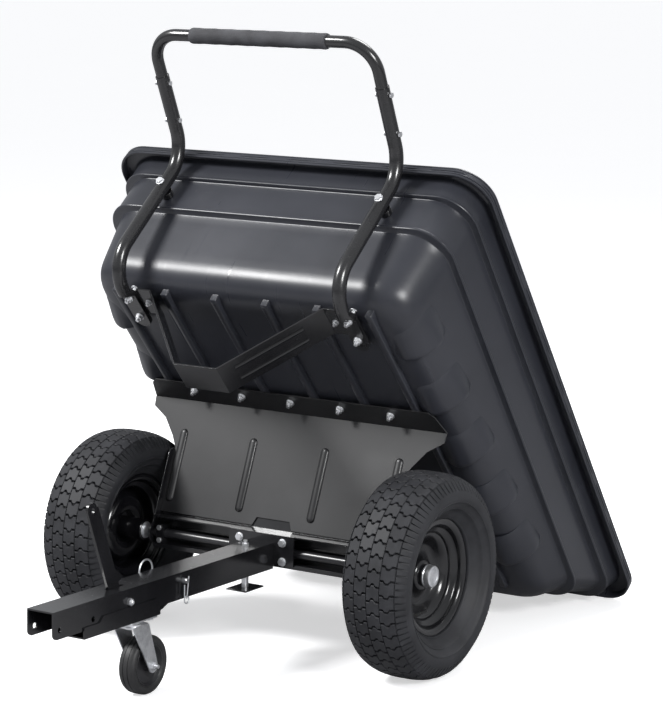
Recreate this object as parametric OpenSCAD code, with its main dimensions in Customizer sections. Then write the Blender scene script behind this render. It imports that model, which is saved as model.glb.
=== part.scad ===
// Two-wheeled tipping garden cart with a tow bar, swivel castor and push handle.
// Origin: centre of the front cross hole of the tow bar. +Y runs back to the tub, +Z is up.
// The cart is drawn tipped out, with the tub's rear rim on the ground.

/* [Stance] */
// Angle of the tub floor to the ground when tipped out
tip_angle = 48.5; // [47.5:0.1:48.5]
// Height of the axle above the ground
axle_h = 203.2; // [180:1:230]
// Distance from the front tow hole back to the axle
tow_reach = 706; // [600:1:850]
// Height of the tow holes above the ground
tow_height = 189; // [186:1:200]

/* [Wheels] */
// Distance from the middle of the cart to the middle of a tyre
track_half = 362; // [355:1:420]
// Tyre width
tyre_w = 144; // [120:1:146]
// Radius of the bead seat on the rim
seat_r = 101.6; // [90:0.1:110]
// Axle shaft radius
shaft_r = 9.5; // [8:0.5:10]

/* [Tow bar] */
// Width over the channel
bar_w = 60; // [50:1:70]
// Height of the top of the channel above the ground
bar_top = 224.5; // [222:0.5:226]
// Depth of the channel
bar_h = 52.5; // [48:0.5:54]
// Steel thickness of the channel
bar_t = 3; // [2.5:0.5:4]

/* [Axle beam] */
// Half length of the beam
beam_half = 272; // [250:1:273]
// Half depth of the beam, front to back
beam_d = 17; // [15:0.5:17]
// Top of the beam above the axle
beam_up = 38.5; // [34:0.5:39]
// Bottom of the beam below the axle
beam_down = 22; // [18:0.5:26]

/* [Tub] */
// Height of the floor underside above the axle with the floor level
floor_up = 264; // [262:1:270]
// Depth of the stiffening ribs under the floor
rib_d = 10; // [10:1:12]
// Wall thickness
wall = 4; // [3:0.5:6]
// Half width over the rim
rim_hw = 444; // [430:1:460]
// Length of the rim
rim_len = 1218; // [1150:1:1218]
// Width of the rim flange
rim_w = 24; // [20:1:30]
// Depth of the rim's outer lip
rim_lip = 22; // [16:1:22]
// Slope of the rim against the floor
rim_slope = 5; // [4:0.5:6]
// Half width of the flat part of the floor
floor_hw = 326; // [300:1:335]

/* [Tilt plate] */
// Lean of the plate against the floor's upright
plate_lean = 27; // [24:0.5:30]
// Sheet thickness
plate_t = 2.5; // [2:0.5:3]

/* [Handle] */
// Distance from the middle to a handle tube
handle_x = 260; // [250:1:270]
// Lower tube radius
tube_r = 14; // [13:0.1:14]
// Upper bow radius
bow_r = 12; // [11:0.1:12]
// Foam grip radius
grip_r = 16; // [14.5:0.5:18]

/* [Castor] */
// Castor wheel diameter
castor_d = 115; // [110:1:125]
// Castor wheel width
castor_w = 36; // [30:1:38]
// How far the castor wheel trails its swivel
castor_trail = 40; // [30:1:45]

/* [Hidden] */
$fn = 64;
eps = 0.01;
fold_up = floor_up - rib_d - plate_t;
fold_y = -fold_up * tan(plate_lean);
fold_r = fold_up / cos(plate_lean);
flange_front = -186;
bolt_row = -165;
bolt_pitch = 119.2;
rim_front_y = -540;
rim_front_up = floor_up + 317.5;
step_hi = 60;
step_lo = 145;
corner_r = 74;
block_y = -365;
block_pitch = 158;
standoff_up = floor_up + 206;
foot_up = floor_up - rib_d - 10;
bow_in = 112;
core_r = castor_d / 2 - 16.5;
cheek_x = 276.5;
cheek_t = 3;
rim_half = 38;
hub_in = -60;
hub_out = 14;
hub_r = 22;
bearing_r = 17.5;
tyre_r = axle_h;
lever_y = -500;
lever_z = 200;
lever_lean = 22;
lever_t = 6;
lever_len = 212;
saddle_f = -474;
saddle_r = -404;
saddle_low = 76.8;
saddle_hw = 51;
castor_y = -455;
castor_top = 157;
bracket_front = -638;
bracket_len = 233;
pin_y = -330;
pin_z = 208;
coupler_t = 4;
bolt_rows = [24, -shaft_r - 5];
clamp_rows = [shaft_r + 3.5, -shaft_r - 3.5];
coupler_front = -beam_d - coupler_t;
bar_front = -725;

black = [0.12, 0.12, 0.13];
gloss = [0.06, 0.06, 0.065];
plastic = [0.19, 0.19, 0.2];
zinc = [0.75, 0.76, 0.78];
rubber = [0.09, 0.09, 0.09];
foam = [0.13, 0.13, 0.14];

// ---- frames ----
// Ground frame: axle above the origin, ground at zero
module ground() translate([0, tow_reach, -tow_height]) children();
// Frame on the axle centre line
module axle_frame() ground() translate([0, 0, axle_h]) children();
// Frame that turns with the tub
module tub_frame() axle_frame() rotate([-tip_angle, 0, 0]) children();
// Frame in the rim plane, from its front edge
module rim_frame() translate([0, rim_front_y, rim_front_up]) rotate([-rim_slope, 0, 0]) children();
// Wheel frame: +Z points outwards along the axle
module wheel_frame(side) axle_frame() translate([side * track_half, 0, 0]) rotate([0, side * 90, 0])
    children();

// ---- small parts ----
module tube(r_out, r_in, h) difference() {
    cylinder(h = h, r = r_out);
    translate([0, 0, -1]) cylinder(h = h + 2, r = r_in);
}
module hex(af, h) cylinder(h = h, r = af / sqrt(3), $fn = 6);
// Hex bolt, head under the origin plane, shank up, nut and end above the grip
module bolt(r, grip, af, washer = true) {
    w = washer ? 1.6 : 0;
    translate([0, 0, -w - 1.2 * r]) hex(af, 1.2 * r);
    if (washer) translate([0, 0, -w]) cylinder(h = w, r = af * 0.68);
    translate([0, 0, -w - eps]) cylinder(h = grip + w + 3 * r, r = r);
    translate([0, 0, grip]) hex(af, 1.5 * r);
}
// The same bolt put in from the far side, so that its nut is at the origin plane
module stud(r, grip, af) {
    translate([0, 0, grip]) rotate([180, 0, 0]) bolt(r, grip + 1.6, af);
    translate([0, 0, -1.6]) cylinder(h = 1.6, r = af * 0.68);
}
// Rounded rectangle from y = f to y = b
module plan(hw, f, b, r) {
    translate([-hw + r, f]) square([2 * (hw - r), b - f]);
    translate([-hw, f + r]) square([2 * hw, b - f - 2 * r]);
    for (x = [-1, 1], y = [f + r, b - r]) translate([x * (hw - r), y]) circle(r = r);
}
module slab(hw, f, b, r, up) translate([0, 0, up]) linear_extrude(0.5) plan(hw, f, b, r, $fn = 48);

// ---- chassis ----
module drawbar() color(black) ground() difference() {
    union() {
        translate([-bar_w / 2, bar_front, bar_top - bar_t]) cube([bar_w, coupler_front - bar_front, bar_t]);
        for (s = [-1, 1]) translate([s * (bar_w - bar_t) / 2, 0, 0]) rotate([90, 0, 90])
            linear_extrude(bar_t, center = true) bar_side();
    }
    // cross holes for the tow hitch
    for (y = [-tow_reach, -tow_reach + 98]) translate([-bar_w, y, tow_height]) rotate([0, 90, 0])
        cylinder(h = 2 * bar_w, r = 5.5);
    // slot for the latch lever
    translate([-lever_t / 2 - 1.5, lever_y - 32, bar_top - 2 * bar_t]) cube([lever_t + 3, 53, 4 * bar_t]);
    translate([-bar_w, lever_y, lever_z]) rotate([0, 90, 0]) cylinder(h = 2 * bar_w, r = 4.3);
    translate([-bar_w, pin_y, pin_z]) rotate([0, 90, 0]) cylinder(h = 2 * bar_w, r = 5.1);
    translate([0, -76, bar_top - 2 * bar_t]) cylinder(h = 4 * bar_t, r = 4.3);
}
// Side of the tow bar, with rounded corners at the tip
module bar_side() {
    z0 = bar_top - bar_h;
    translate([bar_front + 12, z0]) square([coupler_front - bar_front - 12, bar_h]);
    translate([bar_front, z0 + 12]) square([14, bar_h - 12]);
    translate([bar_front + 12, z0 + 12]) circle(r = 12);
}
module axle_beam() color(black) axle_frame() difference() {
    rotate([90, 0, 90]) linear_extrude(2 * beam_half, center = true) beam_section();
    for (x = [-1, 1], z = bolt_rows)
        translate([x * 52, -30, z]) rotate([-90, 0, 0]) cylinder(h = 60, r = 4.3);
    for (x = [-1, 1], z = clamp_rows)
        translate([x * 258, -30, z]) rotate([-90, 0, 0]) cylinder(h = 60, r = 3.3);
}
// Channel open to the front, with a leaning rest for the tilt plate at the back
module beam_section() {
    t = 3;
    translate([-beam_d, beam_up - t]) square([2 * beam_d, t]);
    translate([-beam_d, -beam_down]) square([2 * beam_d, t]);
    translate([beam_d - t, -beam_down]) square([t, beam_up + beam_down]);
    a = plate_lean - tip_angle;
    rotate(a) translate([plate_t / 2 + 0.6, beam_up - 4]) square([t, 30]);
    translate([-beam_d, -beam_down - 6]) square([t, 8]);
}
module axle_shaft() color(zinc) axle_frame() rotate([0, 90, 0])
    cylinder(h = 2 * (track_half + hub_out + 9), r = shaft_r, center = true);
module coupling_plate() color(black) axle_frame() translate([0, coupler_front, 0]) rotate([-90, 0, 0])
    difference() {
        translate([-78, -beam_up, 0]) cube([156, beam_up + beam_down, coupler_t]);
        for (x = [-1, 1], z = bolt_rows) translate([x * 52, -z, -1]) cylinder(h = 9, r = 4.3);
    }
module coupling_bolts() color(zinc) axle_frame()
    for (x = [-1, 1], z = bolt_rows) translate([x * 52, coupler_front, z]) rotate([-90, 0, 0])
        bolt(4, coupler_t + 2 * beam_d, 13);
// Blocks that hold the shaft in the beam near its ends
module shaft_clamps() color(black) axle_frame() for (x = [-1, 1]) difference() {
    translate([x * 258 - 9, -14, -18.8]) cube([18, beam_d + 11, 37.6]);
    translate([x * 258 - 10, 0, 0]) rotate([0, 90, 0]) cylinder(h = 20, r = shaft_r + 0.02);
    for (z = clamp_rows) translate([x * 258, -30, z]) rotate([-90, 0, 0]) cylinder(h = 60, r = 3.3);
}
module clamp_bolts() color(zinc) axle_frame() for (x = [-1, 1], z = clamp_rows)
    translate([x * 258, -14, z]) rotate([-90, 0, 0]) bolt(3, beam_d + 14, 10, false);
// Low channel under the tow bar that carries the castor
module castor_bracket() color(black) ground() difference() {
    t = 3;
    in = bar_w / 2 + 0.05;
    union() {
        translate([-in - t, bracket_front, castor_top]) cube([2 * in + 2 * t, bracket_len, t]);
        for (s = [-1, 1]) translate([s * (in + t / 2), bracket_front, castor_top]) rotate([90, 0, 90])
            linear_extrude(t, center = true)
                polygon([[0, 0], [bracket_len, 0], [bracket_len, 22], [bracket_len - 12, 33],
                    [58, 33], [46, 22], [0, 22]]);
    }
    castor_holes(10, castor_top - 3);
}
module castor_holes(h, z) for (x = [-1, 1], y = [-30, 30])
    translate([x * 22, castor_y + y, z]) cylinder(h = h, r = 4.3);
module lever_bolt() color(zinc) ground() {
    half = bar_w / 2 + 0.1;
    translate([-half, lever_y, lever_z]) rotate([0, 90, 0]) {
        cylinder(h = 2 * half + 5, r = 4);
        translate([0, 0, -5]) hex(13, 5);
        translate([0, 0, 2 * half]) hex(13, 6.5);
        translate([0, 0, 2 * half + 6]) sphere(r = 5.6);
    }
}
module lever_spacers() color(zinc) ground() {
    gap = bar_w / 2 - bar_t - lever_t / 2;
    for (s = [-1, 1]) translate([s * (lever_t / 2 + gap / 2), lever_y, lever_z]) rotate([0, 90, 0])
        translate([0, 0, 0.1 - gap / 2]) tube(8, 4.06, gap - 0.2);
}
// Flat latch lever leaning forwards, with a nose that hooks over the saddle
module latch_lever() color(black) ground() translate([0, lever_y, lever_z]) rotate([lever_lean, 0, 0])
    rotate([90, 0, 90]) linear_extrude(lever_t, center = true) difference() {
        union() {
            circle(r = 16);
            translate([-16, 0]) square([32, lever_len - 14]);
            translate([-2, lever_len - 14]) circle(r = 14);
            polygon([[10, 29.8], [30, 30.9], [29, 36], [14, 62], [10, 62]]);
        }
        circle(r = 4.05);
        translate([-1, lever_len - 16]) circle(r = 5);
    }
module stow_pin() color(zinc) ground() translate([0, pin_y, pin_z]) {
    translate([-bar_w / 2 - 14, 0, 0]) rotate([0, 90, 0]) cylinder(h = bar_w + 26, r = 4.8);
    translate([-bar_w / 2 - 10, 0, 0]) rotate([0, 90, 0]) cylinder(h = 7, r = 8);
    translate([-bar_w / 2 - 15, -17, 12]) rotate([0, 90, 0]) rotate([0, 0, 35])
        rotate_extrude($fn = 48) translate([21, 0]) circle(r = 1.7);
}
// Spring clip that hangs from the pin's end
module stow_clip() color(zinc) ground() translate([bar_w / 2 + 9, pin_y, pin_z]) {
    r = 1.3;
    translate([0, 7.2, 8]) rotate([172, 0, 0]) cylinder(h = 44, r = r);
    translate([0, 0.6, -37]) rotate([0, 90, 0]) rotate_extrude($fn = 40) translate([7, 0]) circle(r = r);
    translate([0, -6.4, -35]) cylinder(h = 28.5, r = r);
}
module foot_plate() color(black) ground() difference() {
    translate([-24, -108, bar_top - bar_h - 34]) cube([48, 64, 3]);
    translate([0, -76, bar_top - bar_h - 35]) cylinder(h = 6, r = 4.3);
}
module foot_bolt() color(zinc) ground() translate([0, -76, bar_top - bar_h - 34]) {
    bolt(4, bar_h + 34, 13);
    translate([0, 0, 3]) tube(7, 3.9, bar_h + 34 - bar_t - 3.2);
}
module axle_spacers() color(zinc) for (s = [-1, 1]) axle_frame()
    translate([s * 291, 0, 0]) rotate([0, 90, 0]) translate([0, 0, -10.4])
        tube(shaft_r + 4, shaft_r + 0.06, 20.8);
module axle_nuts() color(zinc) for (s = [-1, 1]) wheel_frame(s) translate([0, 0, hub_out + 0.4])
    difference() {
    union() {
        cylinder(h = 2, r = shaft_r + 6.5);
        translate([0, 0, 1.9]) hex(2 * shaft_r + 5, 6);
    }
    translate([0, 0, -1]) cylinder(h = 12, r = shaft_r + 0.02);
}

// ---- tub and what turns with it ----
module plate_outline() {
    polygon([[-cheek_x, 44.5], [-cheek_x, 180], [-290, 204], [-318, 240], [-352, 262], [-354, fold_r],
        [354, fold_r], [352, 262], [318, 240], [290, 204], [cheek_x, 180], [cheek_x, 44.5],
        [48, 44.5], [40, 62], [-40, 62], [-48, 44.5]]);
}
module pressed_rib() {
    for (y = [-75, -212]) translate([0, y]) circle(r = 7);
    translate([-7, -212]) square([14, 137]);
}
module tilt_plate() color(gloss) tub_frame() difference() {
    union() {
        rotate([plate_lean, 0, 0]) translate([0, plate_t / 2, 0]) rotate([90, 0, 0])
            linear_extrude(plate_t) plate_outline();
        translate([0, 0, fold_up]) linear_extrude(plate_t) polygon([[-354, fold_y + 1.2], [354, fold_y + 1.2],
            [342, flange_front + 12], [330, flange_front], [-330, flange_front], [-342, flange_front + 12]]);
        // pressed ribs
        for (i = [-1.5 : 1 : 1.5]) rotate([plate_lean, 0, 0]) translate([i * 174.4, -plate_t / 2 - 3, 0])
            rotate([-90, 0, 0]) linear_extrude(3.2) pressed_rib();
    }
    for (i = [-2 : 2]) translate([i * bolt_pitch, bolt_row, fold_up - 2]) cylinder(h = 8, r = 4.3);
}
module plate_bolts() color(zinc) tub_frame()
    for (i = [-2 : 2]) translate([i * bolt_pitch, bolt_row, fold_up]) stud(4, plate_t + rib_d + wall, 13);
// Side plate that carries the tilt plate on the axle shaft
module pivot_cheek(side) color(black) tub_frame() rotate([plate_lean, 0, 0])
    translate([side * (cheek_x + cheek_t / 2), 0, 0]) rotate([90, 0, 90])
        linear_extrude(cheek_t, center = true)
        difference() {
            union() {
                circle(r = 24);
                translate([-18, 0]) square([36, 160]);
                translate([0, 160]) circle(r = 18);
            }
            circle(r = shaft_r + 0.06);
        }
module pivot_cheek_left() pivot_cheek(-1);
module pivot_cheek_right() pivot_cheek(1);
// One tier of the tub: convex body between two levels, shrunk by k
module tier_low(k) hull() {
    slab(floor_hw + 4 - k, -436 + k, 418 - k, 50, floor_up + k);
    slab(floor_hw + 26 - k, -472 + k, 432 - k, 62, floor_up + 11 + k);
    slab(floor_hw + 46 - k, -492 + k, 470 - k, 70, floor_up + 40 + k);
    rim_frame() slab(rim_hw - 52 - k, 48 + k, 1066 - k, corner_r, k - step_lo);
}
module tier_mid(k) hull() {
    rim_frame() slab(rim_hw - 40 - k, 36 + k, 1078 - k, corner_r, k - step_lo - 1);
    rim_frame() slab(rim_hw - 38 - k, 34 + k, 1158 - k, corner_r, k - step_hi);
}
module tier_top(k) hull() {
    rim_frame() slab(rim_hw - 26 - k, 26 + k, 1172 - k, corner_r, k - step_hi - 1);
    rim_frame() slab(rim_hw - rim_w - k, rim_w + k, rim_len - rim_w + 1 - k, corner_r, k > 0 ? 3 : -4);
}
module tub_shell() color(plastic) tub_frame() difference() {
    union() {
        difference() {
            union() {
                tier_low(0);
                tier_mid(0);
                tier_top(0);
                rim_band();
                floor_ribs();
                corner_blocks();
            }
            tier_low(wall);
            tier_mid(wall);
            tier_top(wall);
        }
    }
    for (i = [-2 : 2]) translate([i * bolt_pitch, bolt_row, floor_up - 12]) cylinder(h = 30, r = 4.3);
    for (s = [-1, 1]) {
        for (y = [-454, -400]) translate([s * handle_x, y, floor_up]) spotface(4.3, 10);
        translate([s * 222, (saddle_f + saddle_r) / 2, floor_up]) spotface(3.4, 8);
        translate([s * handle_x, -560, standoff_up]) rotate([-90, 0, 0]) cylinder(h = 90, r = 4.3);
    }
}
// Hole through the floor with a flat seat for the bolt head
module spotface(r, seat) {
    translate([0, 0, -12]) cylinder(h = 60, r = r);
    translate([0, 0, wall]) cylinder(h = 40, r = seat);
}
module rim_band() rim_frame() {
    translate([0, 0, -4]) linear_extrude(4) difference() {
        plan(rim_hw, 0, rim_len, 78);
        plan(rim_hw - rim_w - 2, rim_w + 2, rim_len - rim_w - 1, corner_r);
    }
    translate([0, 0, -rim_lip]) linear_extrude(rim_lip) difference() {
        plan(rim_hw, 0, rim_len, 78);
        plan(rim_hw - wall, wall, rim_len - wall, 74);
    }
}
// Ribs along the floor that run up round the front corner, and pads under the bolted parts
module floor_ribs() {
    f = floor_up;
    for (i = [-2.5 : 1 : 2.5]) translate([i * 120, 0, 0]) rotate([90, 0, 90])
        linear_extrude(12, center = true)
        polygon([[-490, f + 46], [-482, f + 22], [-462, f], [-432, f - rib_d], [382, f - rib_d], [392, f + 2],
            [-425, f + 2], [-456, f + 12], [-478, f + 46]]);
    for (s = [-1, 1]) {
        translate([s * handle_x - 18, -474, f - rib_d]) cube([30, 92, rib_d + 30]);
        translate([s * 222 - 18, saddle_f, f - rib_d]) cube([36, saddle_r - saddle_f, rib_d + 15]);
    }
}
// Bulged blocks along the floor's long edges
module corner_blocks() for (s = [-1, 1], i = [0 : 4])
    translate([s * (floor_hw + 30), block_y + i * block_pitch, floor_up + 40 - 3 * i]) rotate([0, s * 28, 0])
        translate([s > 0 ? -14 : -9, -30, -38]) cube([23, 60, 76]);
module saddle() color(black) tub_frame() translate([0, saddle_r, 0]) rotate([90, 0, 0]) difference() {
    union() {
        linear_extrude(saddle_r - saddle_f) saddle_section();
        for (s = [-1, 1], y = [20, 50]) translate([s * (saddle_hw + 22), 0, y]) saddle_bead(s);
    }
    for (s = [-1, 1]) translate([s * 222, floor_up - rib_d - 6, (saddle_r - saddle_f) / 2])
        rotate([-90, 0, 0]) cylinder(h = 12, r = 3.4);
}
// Hat section: flat crown, sloping sides and feet on the floor ribs
module saddle_section() {
    t = 3;
    top = floor_up - rib_d;
    polygon([[-saddle_hw, saddle_low], [saddle_hw, saddle_low], [206, top - t], [238, top - t], [238, top],
        [204, top], [saddle_hw - 2, saddle_low + t], [-saddle_hw + 2, saddle_low + t], [-204, top],
        [-238, top],
        [-238, top - t], [-206, top - t]]);
}
module saddle_bead(s) {
    a = atan2(floor_up - rib_d - 3 - saddle_low, 206 - saddle_hw);
    translate([0, saddle_low + 22 * tan(a), 0]) rotate([0, 0, s > 0 ? a : 180 - a]) rotate([0, 90, 0])
        cylinder(h = 150, r = 4);
}
module saddle_bolts() color(zinc) tub_frame() for (s = [-1, 1])
    translate([s * 222, (saddle_f + saddle_r) / 2, floor_up - rib_d - 3]) stud(3, 3 + rib_d + wall, 10);

// Round run of straight lengths [0, length] and bends [1, radius, angle], starting along +Z
module run(segs, r, i = 0) if (i < len(segs)) {
    if (segs[i][0] == 0) {
        translate([0, 0, -0.4]) cylinder(h = segs[i][1] + 0.8, r = r);
        translate([0, 0, segs[i][1]]) run(segs, r, i + 1);
    } else {
        b = segs[i][1];
        a = segs[i][2];
        sg = a > 0 ? 1 : -1;
        rotate([0, 0, sg > 0 ? 180 : 0]) translate([-b, 0, 0]) rotate([90, 0, 0])
            rotate_extrude(angle = abs(a), $fn = 72) translate([b, 0]) circle(r = r - 0.03);
        translate([sg * b, 0, 0]) rotate([0, a, 0]) translate([-sg * b, 0, 0]) run(segs, r, i + 1);
    }
}
// Handle path, seen from the side with the floor level
hp = [[-474, foot_up - 4], [-547, foot_up - 4], [-541, floor_up + 297], [-713.6, floor_up + 350],
    [-802, floor_up + 378]];
function seg(i) = hp[i + 1] - hp[i];
function dir(i) = atan2(seg(i)[1], seg(i)[0]);
function tan_len(i, r) = r * tan(abs(dir(i) - dir(i - 1)) / 2);
low_r = 70;
top_r = 76;
s0 = norm(seg(0)) - tan_len(1, low_r);
s1 = norm(seg(1)) - tan_len(1, low_r) - tan_len(2, top_r);
s2 = norm(seg(2)) - tan_len(2, top_r);
low_turn = abs(dir(1) - 180);
top_turn = abs(dir(2) - dir(1));
module leg(r) translate([0, hp[0][0], hp[0][1]]) rotate([90, 0, 0]) rotate([0, 0, 90])
    run([[0, s0], [1, low_r, low_turn], [0, s1], [1, top_r, -top_turn], [0, s2]], r);
module handle_leg(side) color(black) tub_frame() difference() {
    translate([side * handle_x, 0, 0]) union() {
        leg(tube_r);
        // flattened end that bolts under the floor
        hull() {
            translate([0, hp[0][0] + 0.5, hp[0][1]]) rotate([90, 0, 0])
                cylinder(h = 2, r = tube_r - 0.1, $fn = 32);
            translate([-17, -464, foot_up]) cube([34, 2, 9.9]);
        }
        translate([-17, -464, foot_up]) cube([34, 78, 9.9]);
        translate([0, -386, foot_up]) cylinder(h = 9.9, r = 17);
    }
    translate([side * handle_x, 0, 0]) {
        leg(tube_r - 1.6);
        for (y = [-454, -400]) translate([0, y, foot_up - 14]) cylinder(h = 40, r = 4.3);
        translate([0, -610, standoff_up]) rotate([-90, 0, 0]) cylinder(h = 100, r = 4.3);
    }
    bow_pin_holes();
}
module handle_left() handle_leg(-1);
module handle_right() handle_leg(1);
module handle_standoffs() color(black) tub_frame() for (s = [-1, 1])
    translate([s * handle_x, -528.2, standoff_up]) rotate([-90, 0, 0]) tube(13, 4.3, 13);
module handle_bolts() color(zinc) tub_frame() for (s = [-1, 1]) {
    for (y = [-454, -400]) translate([s * handle_x, y, foot_up - 0.1]) stud(4, rib_d + wall + 10.2, 13);
    translate([s * handle_x, -557.2, standoff_up]) rotate([-90, 0, 0]) bolt(4, 47.5, 13);
}
// Bow: two legs inside the lower tubes, corners and a cross tube
module handle_bow() color(black) tub_frame() difference() {
    bow(bow_r);
    bow(bow_r - 1.5);
    bow_pin_holes();
}
module bow(r) {
    up = dir(3);
    len0 = norm(seg(3)) - 62 + bow_in;
    for (s = [-1, 1]) translate([s * handle_x, 0, 0]) bow_place() translate([0, 0, -bow_in])
        run([[0, len0], [1, 62, -s * 90], [0, handle_x - 62 + eps]], r);
}
module bow_place() translate([0, hp[3][0], hp[3][1]]) rotate([dir(2) - 90, 0, 0]) children();
module bow_pin_holes() for (s = [-1, 1], d = [16, 100]) bow_place() translate([s * handle_x - 30, 0, -d])
    rotate([0, 90, 0]) cylinder(h = 60, r = 3.3);
module grip() color(foam) tub_frame() bow_place() translate([0, 0, norm(seg(3))]) rotate([0, 90, 0])
    translate([0, 0, -160]) tube(grip_r, bow_r + 0.1, 320);
module bow_pins() color(zinc) tub_frame() for (s = [-1, 1], d = [16, 100]) bow_place()
    translate([s * handle_x - s * (tube_r + 0.8), 0, -d]) rotate([0, s * 90, 0]) {
        cylinder(h = 2 * tube_r + 6, r = 3);
        translate([0, 0, -2.5]) hex(9, 2.5);
        translate([0, 0, 2 * tube_r + 2]) hex(10, 4);
    }

// ---- wheels ----
module rim_barrel() {
    t = 2.4;
    s = seat_r;
    f = s + 12.4;
    h = rim_half;
    polygon([[f, h], [f, h - t], [s + 2.4, h - t], [s, h - 5], [s, h - 14], [s - 16, h - 21],
        [s - 16, 21 - h],
        [s, 14 - h], [s, 5 - h], [s + 2.4, t - h], [f, t - h], [f, -h], [s + 1, -h], [s - t, 4 - h],
        [s - t, 12.4 - h], [s - 16 - t, 19.5 - h], [s - 16 - t, h - 19.5], [s - t, h - 12.4], [s - t, h - 4],
        [s + 1, h]]);
}
// Dished disc between the hub barrel and the rim's drop centre
module rim_disc() polygon([[seat_r - 17.2, 11], [seat_r - 17.2, 14], [74, 9], [60, -9], [36, -11], [30, 6],
    [hub_r - 2, 8], [hub_r - 2, 5], [28, 3.5], [34, -14], [62, -12]]);
module wheel_rim(side) color(gloss) wheel_frame(side) difference() {
    union() {
        rotate_extrude($fn = 120) rim_barrel();
        rotate_extrude($fn = 120) rim_disc();
        translate([0, 0, hub_in]) cylinder(h = hub_out - hub_in, r = hub_r);
    }
    translate([0, 0, hub_in - 1]) cylinder(h = hub_out - hub_in + 2, r = bearing_r + 0.05);
    valve_place() translate([0, 0, -14]) cylinder(h = 30, r = 4.1);
}
module valve_place() rotate([0, 0, -40]) translate([seat_r - 12, 0, rim_half - 18.5]) rotate([0, -35, 0])
    children();
module valve(side) color(rubber) wheel_frame(side) valve_place() {
    translate([0, 0, -4]) cylinder(h = 20, r = 3.9);
    translate([0, 0, 15.9]) cylinder(h = 14, r = 2.7);
}
module tyre_outline(k) {
    w = tyre_w / 2 - k;
    r = tyre_r - k;
    polygon([for (a = [-90 : 6 : 90]) [
        158 + (r - 158) * pow(abs(cos(a)), 0.72), w * sign(a) * pow(abs(sin(a)), 0.72)]]);
}
module tyre_body() rotate_extrude($fn = 120) difference() {
    w = tyre_w / 2;
    b = rim_half - 2.7;
    r = seat_r;
    union() {
        tyre_outline(0);
        polygon([[r + 0.2, 3 - b], [r + 3, -b], [r + 14, -b], [128, -0.72 * w], [143, -0.9 * w], [159, -w],
            [159, w], [143, 0.9 * w], [128, 0.72 * w], [r + 14, b], [r + 3, b], [r + 0.2, b - 3]]);
    }
    tyre_outline(9);
    polygon([[r - 5, 12 - b], [r + 13, 10 - b], [133, 10 - 0.76 * w], [147, 10 - 0.92 * w], [159, 9 - w],
        [159, w - 9], [147, 0.92 * w - 10], [133, 0.76 * w - 10], [r + 13, b - 10], [r - 5, b - 12]]);
}
module tyre(side) color(rubber) wheel_frame(side) tyre_body();
module bearings(side) color(zinc) wheel_frame(side) for (z = [hub_in, hub_out - 12]) translate([0, 0, z])
    tube(bearing_r, shaft_r + 0.05, 12);
module hub_cap(side) color(zinc) wheel_frame(side) translate([0, 0, hub_out]) difference() {
    cylinder(h = 16.5, r = hub_r);
    translate([0, 0, -1]) cylinder(h = 15, r = hub_r - 2.5);
}
module rim_left() wheel_rim(-1);
module rim_right() wheel_rim(1);
module tyre_left() tyre(-1);
module tyre_right() tyre(1);
module bearings_left() bearings(-1);
module bearings_right() bearings(1);
module hub_cap_left() hub_cap(-1);
module hub_cap_right() hub_cap(1);
module valve_left() valve(-1);
module valve_right() valve(1);

// ---- castor ----
module castor_frame() ground() translate([0, castor_y, 0]) children();
module castor_plate() color(zinc) castor_frame() difference() {
    translate([0, 0, castor_top - 3]) linear_extrude(3) plan(34, -44, 44, 8);
    translate([0, -castor_y, 0]) castor_holes(10, castor_top - 8);
    translate([0, 0, castor_top - 8]) cylinder(h = 20, r = 6.2);
}
module castor_bolts() color(zinc) castor_frame() for (x = [-1, 1], y = [-30, 30])
    translate([x * 22, y, castor_top - 3]) bolt(4, 6, 13, false);
// Swivel race and king bolt, fixed to the plate
module castor_race() color(zinc) castor_frame() {
    translate([0, 0, castor_top - 10]) tube(22, 6.05, 7);
    translate([0, 0, castor_top - 23]) cylinder(h = 23, r = 6);
    translate([0, 0, castor_top - 23]) cylinder(h = 4, r = 10);
}
fork_z = castor_top - 16.5;
module castor_fork() color(zinc) castor_frame() difference() {
    union() {
        translate([0, 0, fork_z]) linear_extrude(3) plan(24.5, -26, 28, 8);
        translate([0, 0, fork_z + 2.9]) tube(24.5, 17, 3.2);
        for (s = [-1, 1]) translate([s * 23.2, 0, 0]) rotate([90, 0, 90]) linear_extrude(2.6, center = true)
            union() {
                polygon([[-24, fork_z + 2], [26, fork_z + 2], [castor_trail + 13, castor_d / 2 + 4],
                    [castor_trail - 12, castor_d / 2 - 6]]);
                translate([castor_trail, castor_d / 2]) circle(r = 13.5);
            }
    }
    translate([0, 0, fork_z - 5]) cylinder(h = 20, r = 6.05);
    translate([-40, castor_trail, castor_d / 2]) rotate([0, 90, 0]) cylinder(h = 80, r = 4.2);
}
module castor_axle() color(zinc) castor_frame() translate([-24.6, castor_trail, castor_d / 2])
    rotate([0, 90, 0]) bolt(4, 49.2, 13);
module castor_core() color(plastic) castor_frame() translate([0, castor_trail, castor_d / 2])
    rotate([0, 90, 0]) rotate_extrude($fn = 96) polygon([[4.05, -20], [11, -20], [13, -9],
        [core_r - 6, -9], [core_r - 2, -16], [core_r, -16], [core_r, 16], [core_r - 2, 16],
        [core_r - 6, 9], [13, 9], [11, 20], [4.05, 20]]);
module castor_tyre() color(rubber) castor_frame() translate([0, castor_trail, castor_d / 2])
    rotate([0, 90, 0]) rotate_extrude($fn = 96) difference() {
        union() {
            translate([core_r + 0.1, -castor_w / 2]) square([castor_d / 2 - core_r - 6.1, castor_w]);
            translate([core_r + 0.1, -castor_w / 2 + 6]) square([castor_d / 2 - core_r - 0.1, castor_w - 12]);
            for (s = [-1, 1]) translate([castor_d / 2 - 6, s * (castor_w / 2 - 6)]) circle(r = 6);
        }
        translate([0, -50]) square([core_r + 0.05, 100]);
    }

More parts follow.
